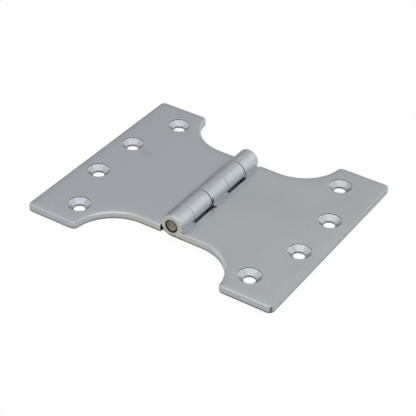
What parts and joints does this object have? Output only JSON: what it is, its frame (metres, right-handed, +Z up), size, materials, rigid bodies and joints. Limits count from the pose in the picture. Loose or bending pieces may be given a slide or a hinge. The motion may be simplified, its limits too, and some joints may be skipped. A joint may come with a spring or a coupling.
{
  "type": "parliament hinge",
  "caption": "Parliament hinge laid open flat: wide scalloped steel leaves with countersunk screw holes, joined by rolled knuckles on a fixed pin.",
  "frame": {"origin": "on the underside of the leaves, in the middle of the open hinge, under the pin", "axes": "+X across the leaves towards the three-knuckle leaf, +Y along the pin, +Z up from the underside to the countersunk side"},
  "size_m": [0.119, 0.102, 0.0099],
  "materials": {
    "plated_steel": "satin",
    "pin_steel": "rough"
  },
  "bodies": {
    "fixed_leaf": {"right_leaf": "plated_steel", "pin": "pin_steel"},
    "turning_leaf": {"left_leaf": "plated_steel"}
  },
  "joints": [
    {"name": "leaf_pivot", "type": "hinge", "parent": "fixed_leaf", "child": "turning_leaf", "pos_m": [0, 0, 0.00495], "axis": [0, 1, 0], "range_deg": [-90, 180]}
  ]
}
